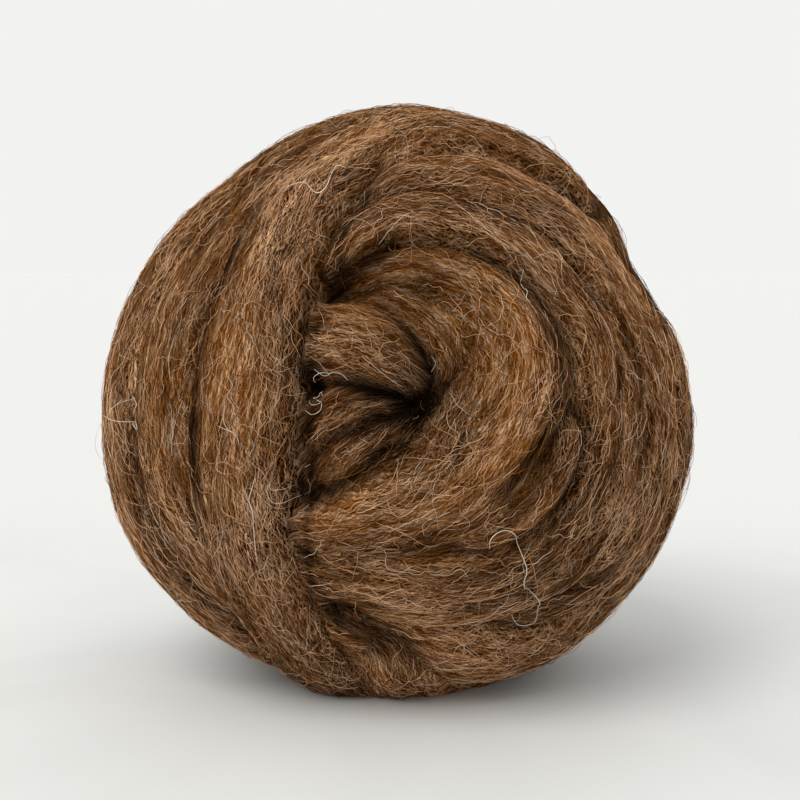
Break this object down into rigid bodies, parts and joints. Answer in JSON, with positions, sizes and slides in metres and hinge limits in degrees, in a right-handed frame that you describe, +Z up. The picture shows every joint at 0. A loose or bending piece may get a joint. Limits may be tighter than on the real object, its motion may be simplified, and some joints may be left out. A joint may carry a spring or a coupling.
{
  "type": "ball of wool roving",
  "caption": "Soft ball wound from a wide untwisted strand of wool roving, with overlapping turns nested round a hollow eye and a small flat spot to rest on.",
  "frame": {"origin": "middle of the bounding box at the flat spot that the ball rests on", "axes": "+Z up from the surface it rests on, the eye of the ball towards -Y, +X to the right as seen from the front"},
  "size_m": [0.1434, 0.1404, 0.1391],
  "materials": {
    "brown_wool": "matt combed wool, dark brown with lighter tan and cream fibres"
  },
  "bodies": {
    "root": {"roving_ball": "brown_wool"}
  },
  "joints": []
}
